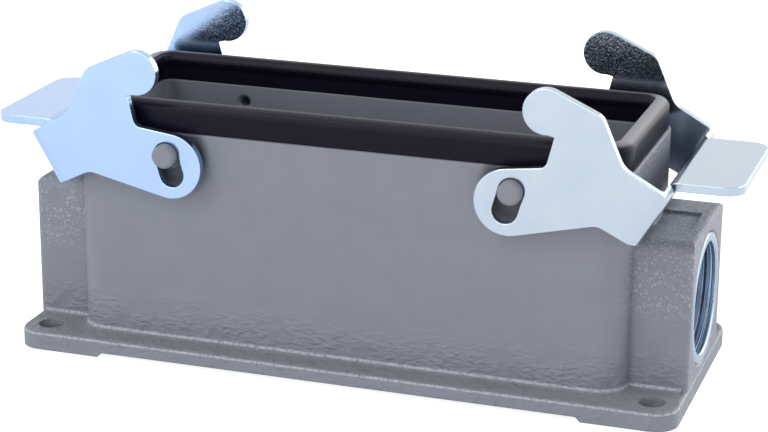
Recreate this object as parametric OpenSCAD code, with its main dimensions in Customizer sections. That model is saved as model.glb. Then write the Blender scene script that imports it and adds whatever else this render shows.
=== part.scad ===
// Surface-mounting housing of a heavy duty rectangular connector: a die-cast box on a
// four-hole base flange, a side cable entry with a threaded metal ring, a profile seal
// over the rim of its opening, and two sheet-steel locking levers hung on cast pegs.
// Millimetres. +Z is up, +X runs along the length towards the cable entry, +Y is the
// back; the origin is the centre of the underside.

/* [Cast body] */
// Length of the main box, end wall to end wall
body_length = 119.4; // [100:0.2:150]
// Width of the main box, outside
body_width = 44; // [38:0.2:60]
// Height of the ledge the seal's skirts stop at
ledge_height = 49.6; // [44:0.2:70]
// Plan radius of the main box's corners
body_corner = 6; // [4:0.5:9]
// Height of the bare rim above the ledge
rim_height = 4; // [3:0.25:6]
// Wall thickness of the floor
floor_thickness = 2.6; // [2:0.1:5]

/* [End boxes] */
// How far each end box reaches beyond the main box
box_reach = 12.1; // [11:0.1:20]
// Width of the end boxes
box_width = 32; // [30:0.5:36]
// Drop of the end boxes' tops below the ledge
box_drop = 14.3; // [11.6:0.1:16.1]
// Radius of the end boxes' cast upper edges
box_edge = 3; // [1.5:0.25:4]
// Radius of the edges round the entry's end face, and of the end boxes' upright edges
box_end_edge = 1.2; // [0.6:0.1:2]
// Wall thickness round the hollow of the end boxes
box_wall = 3; // [2:0.25:4]

/* [Base flange] */
// How far the flange stands out along the long sides
flange_side = 6.2; // [6:0.1:12]
// Height of the flange's upper face
flange_top = 4; // [3.5:0.1:7]
// Plan radius of the flange's corners
flange_corner = 5; // [3:0.5:8]
// Thickness of the low pads under the flange's ends
pad_height = 1; // [0.5:0.1:1.5]
// Length of each pad from the flange's end
pad_length = 19; // [14:0.5:26]
// Diameter of the four mounting holes
hole_diameter = 5.5; // [4:0.1:6]
// Mounting hole centre to flange end
hole_inset_x = 5.8; // [5:0.1:9]
// Mounting hole centre to flange side
hole_inset_y = 5.7; // [4.8:0.1:8]
// Height of the small fillet where the walls meet the flange
foot_fillet = 1.2; // [0.5:0.1:2]

/* [Cable entry] */
// Minor diameter of the entry's thread
entry_bore = 23.4; // [16:0.1:24]
// Wall of the threaded ring round the thread
ring_wall = 2.1; // [1.7:0.1:2.3]
// Depth of the threaded ring
ring_depth = 9; // [7:0.5:10]
// Height of the entry's axis
entry_height = 19; // [18.6:0.1:20]

/* [Locking pegs] */
// Distance of the pegs' axes inwards from the main box's end wall
peg_inset = 22.9; // [20:0.1:26]
// Drop of the pegs' axes below the ledge
peg_drop = 3.8; // [3.5:0.1:6]
// Diameter of a peg
peg_diameter = 5; // [4:0.1:6]
// How far a peg stands out beyond the lever's cheek
peg_proud = 1.9; // [1:0.1:3]
// Width of the shoulder at a peg's root, which keeps the lever off the wall
peg_shoulder = 0.9; // [0.5:0.1:1.5]

/* [Levers] */
// Thickness of the levers' sheet
sheet = 1.8; // [1.5:0.1:2.2]
// Gap between a long wall and a lever's cheek
cheek_gap = 2; // [1.7:0.1:2.5]
// Lever's lean when it hangs open, measured from the locked position
open_angle = 30.4; // [20:0.2:31]
// Gap between the end wall and the lever's web when it is locked
web_gap = 1.7; // [1.5:0.1:2.5]
// Width of the thumb tab
tab_width = 33.6; // [26:0.2:36]
// Length of the thumb tab beyond its bend
tab_length = 12.4; // [9:0.1:14]
// Radius of the thumb tab's corners
tab_corner = 4; // [2:0.5:6]
// Travel of the peg along its slot
slot_travel = 4.3; // [3:0.1:5]
// Play of a peg in its slot, on the radius
peg_play = 0.2; // [0.1:0.05:0.3]
// Radius of the hook's nose
nose_radius = 4.65; // [4:0.05:5]
// Radius of the round lobe about the peg slot
lobe_radius = 6.9; // [6.4:0.1:7.4]

/* [Profile seal] */
// Height of the seal above the ledge
seal_height = 6.2; // [5.2:0.1:7]
// Width of the seal's band
seal_band = 3.2; // [2.8:0.1:3.6]
// Width of casting left bare outside the seal
seal_ledge = 0.5; // [0.3:0.1:1]
// Radius of the seal's outer top edge
seal_round = 1.9; // [1:0.1:2]

/* [Hidden] */
$fn = 96;
eps = 0.01;
hx = body_length / 2;
hy = body_width / 2;
end_x = hx + box_reach;
base_length = 2 * end_x;
base_width = body_width + 2 * flange_side;
hole_x = end_x - hole_inset_x;
hole_y = base_width / 2 - hole_inset_y;
// seal, rim and cavity share one set of steps inwards from the main box's wall
seal_l = body_length - 2 * seal_ledge;
seal_w = body_width - 2 * seal_ledge;
seal_top = ledge_height + seal_height;
seal_skirt = 1.1;
seal_lip = 0.7;
seal_fit = 0.05;
seal_inner_l = seal_l - 2 * seal_band;
seal_inner_w = seal_w - 2 * seal_band;
cavity_l = seal_inner_l - 0.8;
cavity_w = seal_inner_w - 0.8;
cavity_corner = 2.2;
box_height = ledge_height - box_drop;
floor_top = pad_height + floor_thickness;
// insert fixing bosses: 7.6 mm inside the cavity's ends, 4.3 mm inside its sides
boss_x = cavity_l / 2 - 3.6;
boss_y = cavity_w / 2 - 4.4;
boss_drop = 5.6;
boss_top = ledge_height - boss_drop;
boss_radius = 3.6;
insert_thread = 3.3;
insert_depth = 10;
peg_x = hx - peg_inset;
peg_r = peg_diameter / 2;
peg_height = ledge_height - peg_drop;
core_hole = 2.2;
core_mouth = 5.6;
core_mouth_depth = 1.7;
core_depth = 5;
cheek_in = hy + cheek_gap;
cheek_out = cheek_in + sheet;
peg_end = cheek_out + peg_proud;
shoulder_r = peg_r + peg_shoulder;
slot_r = peg_r + peg_play;
web_offset = peg_inset + web_gap + sheet;
ring_diameter = entry_bore + 2 * ring_wall;
recess_l = 8;
recess_w = 11;
recess_depth = 0.6;

// ---------- shared 2-D shapes ----------

// rectangle with true round corners
module round_rect(l, w, r) {
    square([l - 2 * r, w], center = true);
    square([l, w - 2 * r], center = true);
    for (x = [-1, 1], y = [-1, 1])
        translate([x * (l / 2 - r), y * (w / 2 - r)]) circle(r);
}

// half section of a slab of half width a and height h, its top edge rounded by r,
// with a bevel foot of size f spreading from its base; 2-D X is outwards, Y is up
module edge_section(a, h, r, f) {
    square([a, h - r]);
    square([a - r, h]);
    translate([a - r, h - r]) intersection() {
        circle(r);
        square([2 * r, 2 * r]);
    }
    if (f > 0) difference() {
        translate([a - eps, -f]) square([f + eps, 2 * f]);
        translate([a + f, f]) circle(f);
    }
}

// block standing on Z = 0: plan l x w with corners rc, top edges rounded by re,
// and a concave fillet of radius f where it stands on the face below
module soft_block(l, w, h, rc, re, f = 0) {
    for (s = [0, 180]) rotate([0, 0, s]) {
        translate([0, (w / 2 - rc) , 0]) rotate([90, 0, 0]) linear_extrude(w - 2 * rc)
            edge_section(l / 2, h, re, f);
        translate([-(l / 2 - rc), 0, 0]) rotate([90, 0, 90]) linear_extrude(l - 2 * rc)
            edge_section(w / 2, h, re, f);
    }
    for (x = [-1, 1], y = [-1, 1])
        translate([x * (l / 2 - rc), y * (w / 2 - rc), 0]) rotate_extrude()
            edge_section(rc, h, re, f);
}

// ---------- die-cast housing ----------

// base flange with low pads under both ends
module base_flange() {
    translate([0, 0, pad_height])
        soft_block(base_length, base_width, flange_top - pad_height, flange_corner, 0.9);
    intersection() {
        linear_extrude(pad_height + eps) round_rect(base_length, base_width, flange_corner);
        for (s = [0, 180]) rotate([0, 0, s])
            translate([0, base_width, 0]) rotate([90, 0, 0]) linear_extrude(2 * base_width)
                polygon([
                    [end_x - pad_length, 0], [end_x + 1, 0], [end_x + 1, pad_height + eps],
                    [end_x - pad_length - pad_height, pad_height + eps]
                ]);
    }
}

module outer_shape() {
    base_flange();
    translate([0, 0, flange_top - eps])
        soft_block(body_length, body_width, ledge_height - flange_top + eps, body_corner, 0.4,
            foot_fillet);
    // rim the seal is pressed over
    translate([0, 0, ledge_height - 1]) linear_extrude(rim_height + 1)
        round_rect(seal_l - 2 * seal_skirt, seal_w - 2 * seal_skirt, body_corner - 1.6);
    // the two end boxes, flush with the flange's ends
    intersection() {
        translate([-end_x, 0, flange_top - eps]) rotate([90, 0, 90]) linear_extrude(base_length)
            for (s = [0, 1]) mirror([s, 0])
                edge_section(box_width / 2, box_height - flange_top + eps, box_edge, foot_fillet);
        translate([0, base_width, 0]) rotate([90, 0, 0]) linear_extrude(2 * base_width)
            for (s = [0, 1]) mirror([s, 0])
                edge_section(end_x, box_height, s > 0 ? box_edge : box_end_edge, 0);
        union() {
            linear_extrude(box_height + 1) round_rect(base_length, box_width, box_end_edge);
            linear_extrude(flange_top + foot_fillet + 0.2)
                square([base_length - 2 * box_end_edge, base_width], center = true);
        }
    }
    for (x = [-1, 1], y = [-1, 1]) translate([x * peg_x, y * hy, peg_height])
        rotate([-90 * y, 0, 0]) {
            // round shoulder, cut flush with the ledge
            intersection() {
                translate([0, 0, -1]) cylinder(r = shoulder_r, h = cheek_gap + 0.8);
                translate([-shoulder_r - 1, y > 0 ? -peg_drop : -shoulder_r - 1, -1])
                    cube([2 * shoulder_r + 2, peg_drop + shoulder_r + 1, cheek_gap + 2]);
            }
            cylinder(r = peg_r, h = peg_end - hy - 0.5);
            translate([0, 0, peg_end - hy - 0.5 - eps])
                cylinder(r1 = peg_r, r2 = peg_r - 0.5, h = 0.5 + eps);
        }
}

// the room inside: main cavity, hollow end boxes and the passage to the cable entry
module inner_room() {
    translate([0, 0, floor_top]) linear_extrude(seal_top)
        round_rect(cavity_l, cavity_w, cavity_corner);
    translate([0, 0, ledge_height]) linear_extrude(seal_top)
        round_rect(seal_inner_l + 2 * seal_lip, seal_inner_w + 2 * seal_lip, cavity_corner + 0.9);
    for (s = [-1, 1]) {
        reach = s > 0 ? end_x - ring_depth - 2 : end_x - box_wall;
        translate([0, 0, floor_top]) intersection() {
            translate([s * reach / 2, 0, (box_height - box_wall - floor_top) / 2])
                cube([reach, box_width - 2 * box_wall, box_height - box_wall - floor_top],
                    center = true);
            translate([-end_x, 0, 0]) rotate([90, 0, 90]) linear_extrude(base_length)
                translate([0, (box_height - box_wall - floor_top) / 2])
                    round_rect(box_width - 2 * box_wall, box_height - box_wall - floor_top, 2);
        }
    }
}

// posts in the cavity's corners that take the contact insert's fixing screws
module insert_bosses() {
    for (x = [-1, 1], y = [-1, 1]) {
        translate([x * boss_x, y * boss_y, floor_top - 1]) {
            cylinder(r = boss_radius, h = boss_top - floor_top + 1);
            translate([x > 0 ? 0 : -boss_radius - 1, -boss_radius, 0])
                cube([boss_radius + 1, 2 * boss_radius, boss_top - floor_top + 1]);
            translate([-boss_radius, y > 0 ? 0 : -boss_radius - 2, 0])
                cube([2 * boss_radius, boss_radius + 2, boss_top - floor_top + 1]);
        }
    }
}

module housing() {
    color([0.51, 0.52, 0.55]) difference() {
        union() {
            difference() {
                outer_shape();
                inner_room();
            }
            intersection() {
                insert_bosses();
                linear_extrude(seal_top) round_rect(body_length - 2, body_width - 2, body_corner);
            }
        }
        for (x = [-1, 1], y = [-1, 1]) {
            // mounting holes
            translate([x * hole_x, y * hole_y, -1]) cylinder(d = hole_diameter, h = flange_top + 2);
            // tapped holes for the insert's screws
            translate([x * boss_x, y * boss_y, boss_top - insert_depth])
                cylinder(d = insert_thread, h = insert_depth + 1);
            translate([x * boss_x, y * boss_y, boss_top - 0.4])
                cylinder(d1 = insert_thread, d2 = insert_thread + 1.2, h = 0.6);
            // core hole behind each peg, open to the cavity
            translate([x * peg_x, y * (cavity_w / 2 - 1), peg_height]) rotate([-90 * y, 0, 0]) {
                cylinder(d = core_hole, h = core_depth);
                cylinder(d1 = core_mouth, d2 = core_hole, h = core_mouth_depth);
            }
        }
        // cable entry: seat of the threaded ring
        translate([end_x - ring_depth, 0, entry_height]) rotate([0, 90, 0])
            cylinder(d = ring_diameter, h = ring_depth + 1);
        translate([end_x - 0.35, 0, entry_height]) rotate([0, 90, 0])
            cylinder(d1 = ring_diameter, d2 = ring_diameter + 0.9, h = 0.4);
        translate([end_x - ring_depth - 3, 0, entry_height]) rotate([0, 90, 0])
            cylinder(d = entry_bore - 1.4, h = 4);
        // shallow marking recess in the top of the entry's box, left bare
        translate([end_x - 2.6 - recess_l, -recess_w / 2, box_height - recess_depth])
            cube([recess_l, recess_w, recess_depth + 1]);
    }
}

// ---------- threaded ring of the cable entry ----------

module entry_ring() {
    color([0.78, 0.83, 0.87])
        translate([end_x - ring_depth, 0, entry_height]) rotate([0, 90, 0]) difference() {
            union() {
                cylinder(d = ring_diameter - 0.1, h = ring_depth - 0.6);
                translate([0, 0, ring_depth - 0.6 - eps])
                    cylinder(d1 = ring_diameter - 0.1, d2 = ring_diameter - 0.5, h = 0.6 + eps);
            }
            translate([0, 0, -1]) cylinder(d = entry_bore, h = ring_depth + 2);
            translate([0, 0, ring_depth - 0.8])
                cylinder(d1 = entry_bore, d2 = entry_bore + 1.8, h = 0.9);
            translate([0, 0, -0.1])
                cylinder(d1 = entry_bore + 1.4, d2 = entry_bore, h = 0.8);
        }
}

// ---------- profile seal ----------

// section of the seal, its outer face at X = 0 and the band running inwards (-X)
module seal_section() {
    top = seal_top - ledge_height;
    difference() {
        union() {
            translate([-seal_band, 0]) square([seal_band, top - seal_round]);
            translate([-seal_band, 0]) square([seal_band - seal_round, top - 0.7]);
            translate([-seal_band + 0.7, 0]) square([seal_band - seal_round - 0.7, top]);
            translate([-seal_band + 0.7, top - 0.7]) circle(0.7);
            translate([-seal_round, top - seal_round]) circle(seal_round);
        }
        translate([-seal_band + seal_lip - seal_fit, -1])
            square([seal_band - seal_lip - seal_skirt + 2 * seal_fit, rim_height + seal_fit + 1]);
    }
}

module profile_seal() {
    r = body_corner - seal_ledge;
    color([0.1, 0.095, 0.11]) translate([0, 0, ledge_height + 0.02]) difference() {
        union() {
            for (s = [0, 180]) rotate([0, 0, s]) {
                translate([seal_l / 2, seal_w / 2 - r, 0]) rotate([90, 0, 0])
                    linear_extrude(seal_w - 2 * r) seal_section();
                translate([-seal_l / 2 + r, seal_w / 2, 0]) rotate([90, 0, 90])
                    linear_extrude(seal_l - 2 * r) seal_section();
            }
            for (x = [-1, 1], y = [-1, 1])
                translate([x * (seal_l / 2 - r), y * (seal_w / 2 - r), 0])
                    rotate([0, 0, x > 0 ? (y > 0 ? 0 : -90) : (y > 0 ? 90 : 180)])
                        rotate_extrude(angle = 90) translate([r, 0]) seal_section();
        }
    }
}

// ---------- locking lever ----------
// Drawn locked: the pegs' axis is the origin, the web stands upright at +X.

function polar(c, r, a) = [c[0] + r * cos(a), c[1] + r * sin(a)];

// points of the fillet of radius r that rounds corner b of the path a-b-c
function corner(a, b, c, r, n = 7) =
    let (
        u = (a - b) / norm(a - b), v = (c - b) / norm(c - b),
        half = acos(u * v) / 2,
        m = b + (u + v) / norm(u + v) * r / sin(half),
        p = b + u * r / tan(half), q = b + v * r / tan(half),
        a0 = atan2(p[1] - m[1], p[0] - m[0]), a1 = atan2(q[1] - m[1], q[0] - m[0]),
        turn = a1 - a0 > 180 ? a1 - a0 - 360 : (a1 - a0 < -180 ? a1 - a0 + 360 : a1 - a0)
    ) [for (i = [0 : n]) polar(m, r, a0 + turn * i / n)];

nose = [-2.83, 17.76];
lobe = [0.61, -2.42];
slot_tilt = -75.7;
shoulder_x = 6.8;
neck = [1.3, 14.45];
throat_x = 3.13;
web_low_z = 4.95;
web_top_z = 17.3;
heel_back = 8.7;
step_back = 10.8;
heel = [web_offset - heel_back, 4.3];
step = [web_offset - step_back, 17.1];
// the blank that the cheeks are cut from reaches a little beyond the outline
blank_back = nose[0] - nose_radius - 1;
blank_low = lobe[1] - lobe_radius - 1;
blank_high = nose[1] + nose_radius + 3;

// side view of one cheek
module cheek_outline() {
    nose_top = polar(nose, nose_radius, 96);
    shoulder = [shoulder_x, nose_top[1] + (shoulder_x - nose_top[0]) * tan(6)];
    web_top = [web_offset, web_top_z];
    web_low = [web_offset, web_low_z];
    lobe_low = polar(lobe, lobe_radius, -46.3);
    lobe_top = polar(lobe, lobe_radius, 127.5);
    throat = [throat_x, lobe_top[1] + (throat_x - lobe_top[0]) * tan(37.5)];
    translate(nose) circle(nose_radius);
    translate(lobe) circle(lobe_radius);
    polygon(concat(
        [nose, nose_top],
        corner(nose_top, shoulder, step, 3),
        corner(shoulder, step, web_top, 4),
        corner(step, web_top, web_low, 1.9, 5),
        corner(web_top, web_low, heel, 0.6, 4),
        corner(web_low, heel, lobe_low, 3.5),
        [lobe_low, lobe, lobe_top],
        corner(lobe_top, throat, neck, 1.8),
        [neck, polar(nose, nose_radius, -53)]
    ));
}

// plan of the bent sheet: two cheeks joined by the web with rounded bends
module channel_plan() {
    ro = sheet + 1;
    difference() {
        union() {
            translate([blank_back, -cheek_out]) square([web_offset - ro - blank_back, 2 * cheek_out]);
            translate([web_offset - ro - 1, -cheek_out + ro]) square([ro + 1, 2 * (cheek_out - ro)]);
            for (s = [-1, 1]) translate([web_offset - ro, s * (cheek_out - ro)]) circle(ro);
        }
        translate([blank_back - 1, -cheek_in])
            square([web_offset - ro - blank_back + 1, 2 * cheek_in]);
        translate([web_offset - ro - 1, -cheek_in + 1]) square([ro + 1 - sheet, 2 * (cheek_in - 1)]);
        for (s = [-1, 1]) translate([web_offset - ro, s * (cheek_in - 1)]) circle(1);
    }
}

bend_r = 1;
bend_z = 15.65;
tab_lift = 30.4;
tab_root = 2;
notch = 1.6;

// side view of the thumb tab: foot on the web, bend, then the flat tab
module tab_side() {
    ro = bend_r + sheet;
    c = [web_offset + bend_r, bend_z];
    translate([web_offset - sheet, bend_z - 4]) square([sheet, 4]);
    intersection() {
        translate(c) difference() {
            circle(ro);
            circle(bend_r);
        }
        polygon([
            c, c + [-2 * ro, 0], c + [-2 * ro, 2 * ro],
            c + 3 * ro * [cos(90 + tab_lift), sin(90 + tab_lift)]
        ]);
    }
    translate(c) rotate(tab_lift) translate([-eps, bend_r]) square([tab_root + 0.5, sheet]);
}

// a slot: two round ends and the straight between them
module peg_slot() {
    rotate(slot_tilt) {
        circle(slot_r);
        translate([slot_travel, 0]) circle(slot_r);
        translate([0, -slot_r]) square([slot_travel, 2 * slot_r]);
    }
}

module lever_locked() {
    difference() {
        intersection() {
            translate([0, 0, blank_low]) linear_extrude(blank_high - blank_low) channel_plan();
            translate([0, cheek_out + 1, 0]) rotate([90, 0, 0])
                linear_extrude(2 * cheek_out + 2) cheek_outline();
        }
        translate([0, cheek_out + 1, 0]) rotate([90, 0, 0])
            linear_extrude(2 * cheek_out + 2) peg_slot();
        // window for the tab's bend, with round-ended relief notches at its sides
        translate([web_offset - 2 * sheet, -tab_width / 2 - notch, bend_z - 1])
            cube([3 * sheet, tab_width + 2 * notch, nose[1] + nose_radius]);
        for (s = [-1, 1])
            translate([web_offset - 2 * sheet, s * (tab_width / 2 + notch / 2), bend_z - 1])
                rotate([0, 90, 0]) cylinder(d = notch, h = 3 * sheet);
    }
    translate([0, tab_width / 2, 0]) rotate([90, 0, 0]) linear_extrude(tab_width) tab_side();
    translate([web_offset + bend_r, 0, bend_z]) rotate([0, -tab_lift, 0])
        translate([0, 0, bend_r]) linear_extrude(sheet) {
            translate([tab_root, -tab_width / 2])
                square([tab_length - tab_corner - tab_root, tab_width]);
            translate([tab_root, -tab_width / 2 + tab_corner])
                square([tab_length - tab_root, tab_width - 2 * tab_corner]);
            for (s = [-1, 1]) translate([tab_length - tab_corner, s * (tab_width / 2 - tab_corner)])
                circle(tab_corner);
        }
}

module lever_right() {
    color([0.76, 0.82, 0.87]) translate([peg_x, 0, peg_height]) rotate([0, open_angle, 0])
        lever_locked();
}

module lever_left() {
    color([0.76, 0.82, 0.87]) mirror([1, 0, 0]) translate([peg_x, 0, peg_height])
        rotate([0, open_angle, 0]) lever_locked();
}

housing();
profile_seal();
lever_left();
lever_right();
entry_ring();
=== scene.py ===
import bpy
import numpy as np
from mathutils import Matrix, Vector


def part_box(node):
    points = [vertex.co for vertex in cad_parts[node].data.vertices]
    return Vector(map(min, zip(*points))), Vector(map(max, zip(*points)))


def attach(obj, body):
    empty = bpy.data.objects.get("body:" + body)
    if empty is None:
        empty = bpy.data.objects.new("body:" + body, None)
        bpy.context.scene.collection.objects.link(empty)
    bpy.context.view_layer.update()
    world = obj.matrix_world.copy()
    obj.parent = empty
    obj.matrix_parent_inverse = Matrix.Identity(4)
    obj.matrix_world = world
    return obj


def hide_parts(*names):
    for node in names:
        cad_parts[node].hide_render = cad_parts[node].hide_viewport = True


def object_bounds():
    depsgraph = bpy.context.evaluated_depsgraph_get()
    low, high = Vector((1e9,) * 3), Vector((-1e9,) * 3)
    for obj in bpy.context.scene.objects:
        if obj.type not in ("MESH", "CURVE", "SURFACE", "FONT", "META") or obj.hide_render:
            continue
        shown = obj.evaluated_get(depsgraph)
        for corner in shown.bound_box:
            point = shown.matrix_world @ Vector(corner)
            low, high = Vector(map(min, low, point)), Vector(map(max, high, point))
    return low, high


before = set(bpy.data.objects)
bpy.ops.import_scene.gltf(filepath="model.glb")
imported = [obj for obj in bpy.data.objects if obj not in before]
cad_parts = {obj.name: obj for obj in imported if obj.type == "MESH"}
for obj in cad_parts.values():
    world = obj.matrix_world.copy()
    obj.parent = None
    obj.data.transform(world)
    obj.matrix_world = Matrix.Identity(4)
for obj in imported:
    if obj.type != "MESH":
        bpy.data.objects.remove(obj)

cad_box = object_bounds()


# ---------------------------------------------------------------- housing
# The housing is one aluminium die casting: box, end boxes, flange and pegs. It is powder
# coated in grey. The coat is smooth on the long walls, beaded on the upper half of the end
# boxes and rippled above the flange.

MM = 0.001
SMOOTH = {"interpolation_type": "SMOOTHSTEP"}
RGBA = {"data_type": "RGBA"}
TIMES = {"operation": "MULTIPLY"}
TIMES_PLUS = {"operation": "MULTIPLY_ADD"}
LARGER = {"operation": "MAXIMUM"}
UNSIGNED = {"operation": "ABSOLUTE"}

BEAD_PITCH = 0.8 * MM
RIPPLE_LENGTH = 1.7 * MM
SOFT_WAVE = 5 * MM
SPECK = 0.6 * MM
RELIEF_HEIGHT = 0.38 * MM
WAVE_HEIGHT = 0.25 * MM
EDGE_ROUND = 0.45 * MM
PEG_X, PEG_Z = 36.8 * MM, 45.8 * MM
# each pair says where a finish is still absent and where it is full
END_BOXES = (57 * MM, 61 * MM)             # distance from the middle
BEADED_FROM = (17 * MM, 24 * MM)           # height
RIPPLED_BELOW = (16 * MM, 7 * MM)          # height
FLANGE_BELOW = (9 * MM, 7 * MM)            # height
PEG_SHADE_WITHIN = (8.5 * MM, 6.0 * MM)       # distance from a peg's axis
OUTER_WALL_FROM = (20.5 * MM, 21.5 * MM)   # distance from the middle plane, past the wall's inside
OUTER_WALL_TO = (24.2 * MM, 23.7 * MM)     # and short of the pegs' ends


def linear(hex_colour):
    """Linear colour of an sRGB hex: each channel over 12.92 when dark, else ((c + 0.055) / 1.055)
    to the power 2.4."""
    channels = [int(hex_colour[i:i + 2], 16) / 255 for i in (1, 3, 5)]
    return [c / 12.92 if c <= 0.04045 else ((c + 0.055) / 1.055) ** 2.4 for c in channels] + [1.0]


def add_node(tree, kind, settings=None, inputs=None):
    """Adds a node: settings are its properties, inputs its values or the sockets that feed it."""
    node = tree.nodes.new(kind)
    for key, value in (settings or {}).items():
        setattr(node, key, value)
    for key, value in (inputs or {}).items():
        if isinstance(value, bpy.types.NodeSocket):
            tree.links.new(value, node.inputs[key])
        else:
            node.inputs[key].default_value = value
    return node


def new_material(name):
    """An empty node material with its Principled shader: returns material, tree and shader."""
    material = bpy.data.materials.new(name)
    material.use_nodes = True
    tree = material.node_tree
    return material, tree, tree.nodes["Principled BSDF"]


# Powder coat over die-cast aluminium is a baked polymer film of IOR 1.5. It looks half matt,
# with wide soft highlights that break up on the beads and ripples where the film lay rough.
def powder_coat():
    """Each mask is a product of smooth steps; the relief is 0.35 of the beads plus the ripples."""
    material, tree, shader = new_material("powder_coated_die_casting")
    place = add_node(tree, "ShaderNodeTexCoord").outputs["Object"]
    x, y, z = add_node(tree, "ShaderNodeSeparateXYZ", None, {"Vector": place}).outputs
    from_middle = add_node(tree, "ShaderNodeMath", UNSIGNED, {0: x}).outputs[0]
    from_plane = add_node(tree, "ShaderNodeMath", UNSIGNED, {0: y}).outputs[0]
    normal = add_node(tree, "ShaderNodeNewGeometry").outputs["Normal"]
    upward = add_node(tree, "ShaderNodeSeparateXYZ", None, {"Vector": normal}).outputs["Z"]

    wave = add_node(tree, "ShaderNodeTexNoise", None,
                    {"Vector": place, "Scale": 1 / SOFT_WAVE, "Detail": 2.0,
                     "Roughness": 0.5}).outputs["Fac"]
    specks = add_node(tree, "ShaderNodeTexNoise", None,
                      {"Vector": place, "Scale": 1 / SPECK, "Detail": 2.0,
                       "Roughness": 0.6}).outputs["Fac"]
    # the beads' cells are bent by a noise, so that no two beads are alike
    stray = add_node(tree, "ShaderNodeTexNoise", None,
                     {"Vector": place, "Scale": 1 / (0.7 * BEAD_PITCH), "Detail": 1.0})
    bent = add_node(tree, "ShaderNodeVectorMath", TIMES_PLUS,
                    {0: stray.outputs["Color"], 1: (BEAD_PITCH, BEAD_PITCH, BEAD_PITCH), 2: place})
    cells = add_node(tree, "ShaderNodeTexVoronoi", {"feature": "SMOOTH_F1"},
                     {"Vector": bent.outputs[0], "Scale": 1 / BEAD_PITCH, "Smoothness": 0.25,
                      "Randomness": 1.0}).outputs["Distance"]
    # distance from the nearer peg's axis
    aside = add_node(tree, "ShaderNodeMath", {"operation": "SUBTRACT"}, {0: from_middle, 1: PEG_X})
    above = add_node(tree, "ShaderNodeMath", {"operation": "SUBTRACT"}, {0: z, 1: PEG_Z})
    from_peg = add_node(tree, "ShaderNodeCombineXYZ", None,
                        {"X": aside.outputs[0], "Z": above.outputs[0]})
    from_peg = add_node(tree, "ShaderNodeVectorMath", {"operation": "LENGTH"},
                        {0: from_peg.outputs[0]}).outputs["Value"]

    masks = []
    for mask, steps in (
            # beads: mounds round the cells' middles, in patches, on the end boxes' upper half
            (1.0, ((cells, 0.54, 0.14), (wave, 0.30, 0.50), (from_middle, *END_BOXES), (z, *BEADED_FROM))),
            # painted highlight: a light line on the flange's rounded edges, which face half up, with gaps
            (1.0, ((upward, 0.15, 0.38), (upward, 0.80, 0.58), (z, *FLANGE_BELOW), (specks, 0.32, 0.56))),
            # painted shade: dark rings on the outer walls round the pegs, behind the levers' cheeks
            (0.85, ((from_peg, *PEG_SHADE_WITHIN), (from_plane, *OUTER_WALL_FROM),
                    (from_plane, *OUTER_WALL_TO))),
            # level faces, a little lighter
            (0.6, ((upward, 0.90, 0.99),)),
            # ripples above the flange
            (1.3, ((z, *RIPPLED_BELOW),)),
            # and fainter ripples all over the end boxes
            (0.4, ((from_middle, *END_BOXES),))):
        for socket, absent, full in steps:
            mask = add_node(tree, "ShaderNodeMapRange", SMOOTH,
                            {"Value": socket, "From Min": absent, "From Max": full,
                             "To Max": mask}).outputs[0]
        masks.append(mask)
    beads, edge_highlight, painted_peg_shade, lighter_facing_up, low_ripples, end_ripples = masks

    flattened = add_node(tree, "ShaderNodeMapping", None, {"Vector": place, "Scale": (1, 1, 2.2)})
    ripple = add_node(tree, "ShaderNodeTexNoise", None,
                      {"Vector": flattened.outputs[0], "Scale": 1 / RIPPLE_LENGTH, "Detail": 1.0,
                       "Roughness": 0.4, "Distortion": 0.5})
    rippled = add_node(tree, "ShaderNodeMath", LARGER, {0: low_ripples, 1: end_ripples})
    uneven = add_node(tree, "ShaderNodeMapRange", SMOOTH,
                      {"Value": wave, "From Min": 0.25, "From Max": 0.6, "To Max": rippled.outputs[0]})
    ripples = add_node(tree, "ShaderNodeMath", TIMES, {0: ripple.outputs["Fac"], 1: uneven.outputs[0]})
    relief = add_node(tree, "ShaderNodeMath", TIMES_PLUS, {0: beads, 1: 0.35, 2: ripples.outputs[0]})
    raised = add_node(tree, "ShaderNodeBump", None,
                      {"Height": relief.outputs[0], "Distance": RELIEF_HEIGHT, "Strength": 1.0})
    soft = add_node(tree, "ShaderNodeBump", None,
                    {"Height": wave, "Distance": WAVE_HEIGHT, "Strength": 0.25,
                     "Normal": raised.outputs[0]})
    edge = add_node(tree, "ShaderNodeBevel", {"samples": 6},
                    {"Radius": EDGE_ROUND, "Normal": soft.outputs[0]})

    # painted highlights: the bead tops and the flange's rounded edges are laid in a lighter grey
    bead_highlight = add_node(tree, "ShaderNodeMath", TIMES, {0: beads, 1: 0.50})
    edge_highlight_share = add_node(tree, "ShaderNodeMath", TIMES, {0: edge_highlight, 1: 0.72})
    painted_highlights = add_node(tree, "ShaderNodeMath", LARGER, {0: bead_highlight.outputs[0], 1: edge_highlight_share.outputs[0]})
    paint = add_node(tree, "ShaderNodeMix", RGBA,
                     {"Factor": wave, 6: linear("#777B86"), 7: linear("#7F838E")})
    # the darkest colour, laid round the pegs, is painted shade
    for share, colour in ((lighter_facing_up, "#8E8D93"), (painted_highlights.outputs[0], "#B9BCC4"), (painted_peg_shade, "#2E323A")):
        paint = add_node(tree, "ShaderNodeMix", RGBA,
                         {"Factor": share, 6: paint.outputs[2], 7: linear(colour)})
    tree.links.new(paint.outputs[2], shader.inputs["Base Color"])
    tree.links.new(edge.outputs[0], shader.inputs["Normal"])
    shader.inputs["Roughness"].default_value = 0.52
    shader.inputs["IOR"].default_value = 1.5
    return material


def finish_node(node, material):
    """Gives a piece of the frame its material."""
    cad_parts[node].data.materials.clear()
    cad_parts[node].data.materials.append(material)


finish_node("housing", powder_coat())


# ---------------------------------------------------------------- profile seal
# The seal is one moulded ring of black rubber, pressed over the casting's rim. Its crest carries
# a little dust, and painted sheen lightens it most of all across the two ends.

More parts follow.
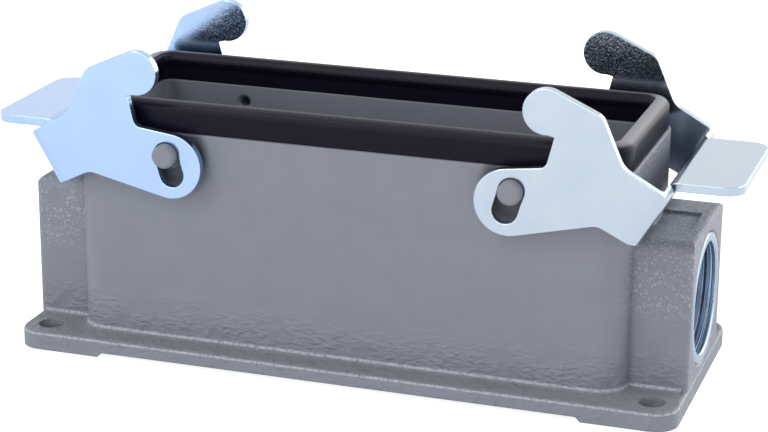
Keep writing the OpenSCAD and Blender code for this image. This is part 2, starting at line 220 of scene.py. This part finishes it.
SKIN_GRAIN = 0.7 * MM
SKIN_DEPTH = 0.05 * MM
DUST_CLOUD = 9 * MM
SHEEN_BEYOND = (54 * MM, 57 * MM)    # distance from the middle


# Moulded rubber is filled with carbon black, IOR 1.5. It is nearly black, with a faint cool
# tinge and a soft low sheen. Its dust shows as a grey film where it faces up, and painted sheen
# lightens that film most across the two ends.
def seal_rubber():
    """The share of dust and painted sheen is a smooth step of the upward slope times one of the place
    along the part.
    """
    material, tree, shader = new_material("moulded_black_rubber")
    place = add_node(tree, "ShaderNodeTexCoord").outputs["Object"]
    along = add_node(tree, "ShaderNodeSeparateXYZ", None, {"Vector": place}).outputs["X"]
    from_middle = add_node(tree, "ShaderNodeMath", UNSIGNED, {0: along})
    normal = add_node(tree, "ShaderNodeNewGeometry").outputs["Normal"]
    upward = add_node(tree, "ShaderNodeSeparateXYZ", None, {"Vector": normal}).outputs["Z"]
    skin = add_node(tree, "ShaderNodeTexNoise", None,
                    {"Vector": place, "Scale": 1 / SKIN_GRAIN, "Detail": 3.0, "Roughness": 0.6})
    clouds = add_node(tree, "ShaderNodeTexNoise", None,
                      {"Vector": place, "Scale": 1 / DUST_CLOUD, "Detail": 3.0, "Roughness": 0.6})
    black = add_node(tree, "ShaderNodeMix", RGBA,
                     {"Factor": clouds.outputs["Fac"], 6: linear("#090718"), 7: linear("#110F1F")})
    crest = add_node(tree, "ShaderNodeMapRange", SMOOTH,
                     {"Value": upward, "From Min": 0.5, "From Max": 0.95, "To Max": 0.5})
    # across the two ends the share grows about ninefold: painted sheen on the crest
    ends = add_node(tree, "ShaderNodeMapRange", SMOOTH,
                    {"Value": from_middle.outputs[0], "From Min": SHEEN_BEYOND[0],
                     "From Max": SHEEN_BEYOND[1], "To Min": 0.22, "To Max": 2.0})
    film = add_node(tree, "ShaderNodeMath", TIMES, {0: crest.outputs[0], 1: ends.outputs[0]})
    # grey dust, with painted sheen at the ends, over the black
    lighter_facing_up = add_node(tree, "ShaderNodeMix", RGBA,
                     {"Factor": film.outputs[0], 6: black.outputs[2], 7: linear("#9C9AA4")})
    bump = add_node(tree, "ShaderNodeBump", None,
                    {"Height": skin.outputs["Fac"], "Distance": SKIN_DEPTH, "Strength": 0.25})
    tree.links.new(lighter_facing_up.outputs[2], shader.inputs["Base Color"])
    tree.links.new(bump.outputs[0], shader.inputs["Normal"])
    shader.inputs["Roughness"].default_value = 0.36
    shader.inputs["IOR"].default_value = 1.5
    shader.inputs["Specular IOR Level"].default_value = 0.125
    return material


finish_node("profile_seal", seal_rubber())


# ---------------------------------------------------------------- locking levers
# Each lever is blanked and bent from 1.8 mm steel sheet, zinc plated and passivated blue. It
# hangs by two cheeks on the casting's pegs; their inner faces carry a fine crackle in relief and
# painted dark reflections in the colour.

CLOUD = 6 * MM
MOTTLE = 0.9 * MM
CRACKLE = 0.45 * MM
MOTTLE_DEPTH = 0.03 * MM
CRACKLE_DEPTH = 0.025 * MM
EDGE_ROLL = 0.35 * MM
CHEEK_INSIDE = 24.9 * MM                 # distance from the middle plane, half way into the sheet
CRACKLE_AND_DARK_FROM = (56.5 * MM, 58.5 * MM)   # height where the crackle sets in
CRACKLE_AND_DARK_TO = (101.5 * MM, 97.5 * MM)    # height less 0.8 of x where it ends, on the left lever


# Blue passivated zinc is a bright cool mirror, faintly clouded, that shows the white tent. The
# blanked edges are rolled over by 0.35 mm, so they glint.
def blue_zinc(name, tint, cloud_tint):
    """The painted dark reflection's share is a product of steps in place and slope, broken up by a fine
    noise; the crackle's bump follows the same steps.
    """
    material, tree, shader = new_material(name)
    place = add_node(tree, "ShaderNodeTexCoord").outputs["Object"]
    y, z = add_node(tree, "ShaderNodeSeparateXYZ", None, {"Vector": place}).outputs[1:]
    from_plane = add_node(tree, "ShaderNodeMath", UNSIGNED, {0: y})
    normal = add_node(tree, "ShaderNodeNewGeometry").outputs["Normal"]
    sideways = add_node(tree, "ShaderNodeSeparateXYZ", None, {"Vector": normal}).outputs["Y"]
    sideways = add_node(tree, "ShaderNodeMath", UNSIGNED, {0: sideways})
    clouds = add_node(tree, "ShaderNodeTexNoise", None,
                      {"Vector": place, "Scale": 1 / CLOUD, "Detail": 3.0, "Roughness": 0.55})
    mottle = add_node(tree, "ShaderNodeTexNoise", None,
                      {"Vector": place, "Scale": 1 / MOTTLE, "Detail": 2.0, "Roughness": 0.6})
    crackle = add_node(tree, "ShaderNodeTexNoise", None,
                       {"Vector": place, "Scale": 1 / CRACKLE, "Detail": 2.0, "Roughness": 0.7})

    # the cheeks' inner faces, above the pegs and up to a slope towards the web
    inside = add_node(tree, "ShaderNodeMath", {"operation": "LESS_THAN"},
                      {0: from_plane.outputs[0], 1: CHEEK_INSIDE})
    cheek = add_node(tree, "ShaderNodeMapRange", None,
                     {"Value": sideways.outputs[0], "From Min": 0.6, "From Max": 0.9,
                      "To Max": inside.outputs[0]})
    upper = add_node(tree, "ShaderNodeMapRange", SMOOTH,
                     {"Value": z, "From Min": CRACKLE_AND_DARK_FROM[0], "From Max": CRACKLE_AND_DARK_FROM[1],
                      "To Max": cheek.outputs[0]})
    slanted = add_node(tree, "ShaderNodeVectorMath", {"operation": "DOT_PRODUCT"},
                       {0: place, 1: (-0.8, 0, 1)})
    inner = add_node(tree, "ShaderNodeMapRange", SMOOTH,
                     {"Value": slanted.outputs["Value"], "From Min": CRACKLE_AND_DARK_TO[0],
                      "From Max": CRACKLE_AND_DARK_TO[1], "To Max": upper.outputs[0]})
    # painted reflection: dark spots in the colour where the cheeks' inner faces mirror the dark housing
    dark_reflection_spots = add_node(tree, "ShaderNodeMapRange", SMOOTH,
                     {"Value": crackle.outputs["Fac"], "From Min": 0.42, "From Max": 0.66,
                      "To Min": 0.88, "To Max": 0.25})
    painted_dark_reflection = add_node(tree, "ShaderNodeMath", TIMES, {0: inner.outputs[0], 1: dark_reflection_spots.outputs[0]})

    bright = add_node(tree, "ShaderNodeMix", RGBA,
                      {"Factor": clouds.outputs["Fac"], 6: linear(tint), 7: linear(cloud_tint)})
    # the dark blue-grey is painted reflection
    plated = add_node(tree, "ShaderNodeMix", RGBA,
                      {"Factor": painted_dark_reflection.outputs[0], 6: bright.outputs[2], 7: linear("#3C4858")})
    gloss = add_node(tree, "ShaderNodeMapRange", None,
                     {"Value": clouds.outputs["Fac"], "To Min": 0.12, "To Max": 0.26})
    bump = add_node(tree, "ShaderNodeBump", None,
                    {"Height": mottle.outputs["Fac"], "Distance": MOTTLE_DEPTH, "Strength": 0.6})
    rough = add_node(tree, "ShaderNodeBump", None,
                     {"Height": crackle.outputs["Fac"], "Distance": CRACKLE_DEPTH,
                      "Strength": inner.outputs[0], "Normal": bump.outputs[0]})
    edge = add_node(tree, "ShaderNodeBevel", {"samples": 6},
                    {"Radius": EDGE_ROLL, "Normal": rough.outputs[0]})
    tree.links.new(plated.outputs[2], shader.inputs["Base Color"])
    tree.links.new(gloss.outputs[0], shader.inputs["Roughness"])
    tree.links.new(edge.outputs[0], shader.inputs["Normal"])
    shader.inputs["Metallic"].default_value = 1.0
    return material


# the left lever's passivation is the bluer one
finish_node("lever_left", blue_zinc("blue_zinc_on_steel_left", "#A6C0E7", "#AFC9EA"))
finish_node("lever_right", blue_zinc("blue_zinc_on_steel_right", "#AFC0D3", "#BFC8D0"))


# ---------------------------------------------------------------- entry ring
# The ring is turned steel, zinc plated, pressed into the right end box. Its bore carries the
# thread for a cable gland, pitch 1.5 mm, open to a bevel at the mouth.

BORE_RADIUS = 11.7 * MM
PITCH = 1.5 * MM
THREAD_DEPTH = 0.8 * MM
FLANK_STEEPNESS, CREST_OFFSET = 2.7, 0.32
MOUTH_BEVEL = 0.3 * MM
INNER_BEVEL = 0.9 * MM
RIM_ROUND = 0.2 * MM
BORE_ROWS = 240
RING_SEGMENTS = 256
TURNING_MARK = 0.6 * MM


def ring_surface(outer, length):
    """Points (profile, turn) of a threaded ring about +Z: a closed profile carried round the axis.

    In the bore the radius is the bore's plus the thread's depth times a trapezoid wave: the
    distance from a crest, of z / pitch minus the share of the turn, times the flank's steepness
    less the crest's offset, kept between 0 and 1 and faded in over the first and last turn."""
    wall = [(outer, z) for z in np.linspace(0.0, length - 3 * RIM_ROUND, 3)]
    rim = [(outer - 0.4 * RIM_ROUND, length - 1.6 * RIM_ROUND),
           (outer - RIM_ROUND, length - 0.3 * RIM_ROUND),
           (outer - 1.5 * RIM_ROUND, length), (outer - 1.8 * RIM_ROUND, length)]
    mouth = [(BORE_RADIUS + 1.4 * MOUTH_BEVEL, length), (BORE_RADIUS + 1.1 * MOUTH_BEVEL, length),
             (BORE_RADIUS + MOUTH_BEVEL, length - 0.1 * MOUTH_BEVEL)]
    bore = [(BORE_RADIUS, z) for z in np.linspace(length - MOUTH_BEVEL, INNER_BEVEL, BORE_ROWS)]
    profile = np.array(wall + rim + mouth + bore + [(BORE_RADIUS + INNER_BEVEL, 0.0)])
    turn = np.arange(RING_SEGMENTS) / RING_SEGMENTS
    radius, z = profile[:, :1], profile[:, 1:]
    wave = (z / PITCH - turn[None, :]) % 1.0
    from_crest = 0.5 - np.abs(wave - 0.5)
    tooth = np.clip(FLANK_STEEPNESS * from_crest - CREST_OFFSET, 0.0, 1.0)
    in_bore = (profile[:, 0] <= BORE_RADIUS + 1e-9)[:, None]
    fade = (np.clip((z - INNER_BEVEL) / PITCH, 0.0, 1.0)
            * np.clip((length - INNER_BEVEL - z) / (0.3 * PITCH), 0.0, 1.0))
    radius = radius + in_bore * THREAD_DEPTH * tooth * fade
    angle = 2 * np.pi * turn[None, :]
    return np.stack([radius * np.cos(angle), radius * np.sin(angle), z + 0 * angle], axis=-1)


def closed_grid(name, points):
    """Mesh object of a grid of points that closes on itself both ways, faces outwards."""
    rows, columns = points.shape[:2]
    index = np.arange(rows * columns).reshape(rows, columns)
    down, right = np.roll(index, -1, axis=0), np.roll(index, -1, axis=1)
    corner = np.roll(down, -1, axis=1)
    faces = np.stack([index, right, corner, down], axis=-1).reshape(-1, 4)
    mesh = bpy.data.meshes.new(name)
    mesh.from_pydata(points.reshape(-1, 3).tolist(), [], faces.tolist())
    mesh.polygons.foreach_set("use_smooth", [True] * len(faces))
    mesh.update()
    piece = bpy.data.objects.new(name, mesh)
    bpy.context.scene.collection.objects.link(piece)
    return piece


# Zinc plated turned steel is a clean cool metal with marks round its axis. They are drawn
# 0.6 mm apart, coarser than a tool leaves them, and the faced end is a little duller.
def turned_zinc():
    """The marks are a noise stretched seven times round the axis."""
    material, tree, shader = new_material("zinc_plated_turned_steel")
    place = add_node(tree, "ShaderNodeTexCoord").outputs["Object"]
    stretched = add_node(tree, "ShaderNodeMapping", None, {"Vector": place, "Scale": (1, 0.15, 0.15)})
    marks = add_node(tree, "ShaderNodeTexNoise", None,
                     {"Vector": stretched.outputs[0], "Scale": 1 / TURNING_MARK, "Detail": 1.0,
                      "Roughness": 0.5})
    bright = add_node(tree, "ShaderNodeMix", RGBA,
                      {"Factor": marks.outputs["Fac"], 6: linear("#B3C8DD"), 7: linear("#C6D7E7")})
    normal = add_node(tree, "ShaderNodeNewGeometry").outputs["Normal"]
    endward = add_node(tree, "ShaderNodeSeparateXYZ", None, {"Vector": normal}).outputs["X"]
    faced = add_node(tree, "ShaderNodeMapRange", None,
                     {"Value": endward, "From Min": 0.3, "From Max": 0.7})
    plated = add_node(tree, "ShaderNodeMix", RGBA,
                      {"Factor": faced.outputs[0], 6: bright.outputs[2], 7: linear("#94A7BC")})
    tree.links.new(plated.outputs[2], shader.inputs["Base Color"])
    shader.inputs["Metallic"].default_value = 1.0
    shader.inputs["Roughness"].default_value = 0.27
    return material


low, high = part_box("entry_ring")
ring_points = ring_surface((high.z - low.z) / 2, high.x - low.x)
# lay the ring's axis along +X, its inner end at the box's low side
ring_points = np.stack([low.x + ring_points[..., 2], ring_points[..., 0],
                        (low.z + high.z) / 2 + ring_points[..., 1]], axis=-1)
threaded_ring = closed_grid("threaded_ring", ring_points)
threaded_ring.data.materials.append(turned_zinc())
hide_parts("entry_ring")
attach(threaded_ring, "housing")


# ---------------------------------------------------------------- table, light and camera
# A white sheet lies under the part and it is white all round, as in a light tent. One large
# soft lamp stands at the right, nearly level with the part, and weaker ones at the left, in
# front and above.

TABLE_HALF = 4.0
TABLE_TOP = -0.2 * MM

corners = [(TABLE_HALF * right, TABLE_HALF * away, TABLE_TOP)
           for right, away in ((-1, -1), (1, -1), (1, 1), (-1, 1))]
table_mesh = bpy.data.meshes.new("white_table")
table_mesh.from_pydata(corners, [], [(0, 1, 2, 3)])
table = bpy.data.objects.new("white_table", table_mesh)
bpy.context.scene.collection.objects.link(table)

# the sheet glows by 0.28, by 0.20 more in a gloss and by 0.50 more when seen itself
GLOW, GLOW_IN_GLOSS, GLOW_SEEN = 0.28, 0.20, 0.50
table_paint = bpy.data.materials.new("white_paper")
table_paint.use_nodes = True
tree = table_paint.node_tree
tree.nodes.clear()
paper = add_node(tree, "ShaderNodeBsdfDiffuse", None, {"Color": linear("#E7E7E7")})
path = add_node(tree, "ShaderNodeLightPath")
glow = add_node(tree, "ShaderNodeMath", TIMES_PLUS,
                {0: path.outputs["Is Glossy Ray"], 1: GLOW_IN_GLOSS, 2: GLOW})
glow = add_node(tree, "ShaderNodeMath", TIMES_PLUS,
                {0: path.outputs["Is Camera Ray"], 1: GLOW_SEEN, 2: glow.outputs[0]})
white = add_node(tree, "ShaderNodeEmission", None,
                 {"Color": linear("#FFFFFF"), "Strength": glow.outputs[0]})
both = add_node(tree, "ShaderNodeAddShader", None, {0: paper.outputs[0], 1: white.outputs[0]})
add_node(tree, "ShaderNodeOutputMaterial", None, {"Surface": both.outputs[0]})
table.data.materials.append(table_paint)

# the tent lights the part by 0.52 and is itself seen, and mirrored, as white
TENT_LIGHT, TENT_SEEN = 0.52, 1.1
world = bpy.data.worlds.new("light_tent")
bpy.context.scene.world = world
world.use_nodes = True
tree = world.node_tree
tree.nodes.clear()
path = add_node(tree, "ShaderNodeLightPath")
seen = add_node(tree, "ShaderNodeMath", LARGER,
                {0: path.outputs["Is Camera Ray"], 1: path.outputs["Is Glossy Ray"]})
seen = add_node(tree, "ShaderNodeMath", LARGER,
                {0: seen.outputs[0], 1: path.outputs["Is Transmission Ray"]})
level = add_node(tree, "ShaderNodeMapRange", None,
                 {"Value": seen.outputs[0], "To Min": TENT_LIGHT, "To Max": TENT_SEEN})
air = add_node(tree, "ShaderNodeBackground", None,
               {"Color": linear("#FFFFFF"), "Strength": level.outputs[0]})
add_node(tree, "ShaderNodeOutputWorld", None, {"Surface": air.outputs[0]})


def soft_lamp(name, place, aim, width, height, power):
    """Rectangular area lamp at place, facing aim."""
    light = bpy.data.lights.new(name, "AREA")
    light.shape, light.size, light.size_y, light.energy = "RECTANGLE", width, height, power
    lamp = bpy.data.objects.new(name, light)
    lamp.location = place
    lamp.rotation_mode = "QUATERNION"
    lamp.rotation_quaternion = (Vector(aim) - Vector(place)).to_track_quat("-Z", "Y")
    bpy.context.scene.collection.objects.link(lamp)
    return lamp


middle = (cad_box[0] + cad_box[1]) / 2
soft_lamp("right_softbox", (0.80, 0.55, 0.33), middle, 1.6, 0.66, 8.8)
soft_lamp("left_softbox", (-0.80, -0.25, 0.20), middle, 0.8, 0.4, 1.0)
soft_lamp("front_softbox", (-0.15, -0.85, 0.16), middle, 0.6, 0.6, 2.2)
soft_lamp("upper_softbox", (-0.30, -0.50, 0.60), middle, 0.25, 0.25, 1.3)

# the camera stands low in front, a little to the right: azimuth, elevation and roll in degrees
AZIMUTH, ELEVATION, ROLL = np.radians([18.507, 18.043, 0.375])
DISTANCE = 490.8 * MM
AIM = Vector((0.745 * MM, 0, 29.619 * MM))
FOCAL_LENGTH, SENSOR_WIDTH = 107.94, 36
back = Vector((np.sin(AZIMUTH) * np.cos(ELEVATION), -np.cos(AZIMUTH) * np.cos(ELEVATION),
               np.sin(ELEVATION)))
side = Vector((0, 0, 1)).cross(back).normalized()
across = np.cos(ROLL) * side + np.sin(ROLL) * back.cross(side)
upright = back.cross(across)
lens = bpy.data.cameras.new("camera")
lens.sensor_width, lens.lens = SENSOR_WIDTH, FOCAL_LENGTH
lens.shift_x, lens.shift_y = 0.00774, -0.00456
lens.clip_start, lens.clip_end = 0.01, 50
camera = bpy.data.objects.new("camera", lens)
bpy.context.scene.collection.objects.link(camera)
camera.matrix_world = (Matrix.Translation(AIM + DISTANCE * back)
                       @ Matrix((across, upright, back)).transposed().to_4x4())
bpy.context.scene.camera = camera
bpy.context.scene.view_settings.view_transform = "Standard"
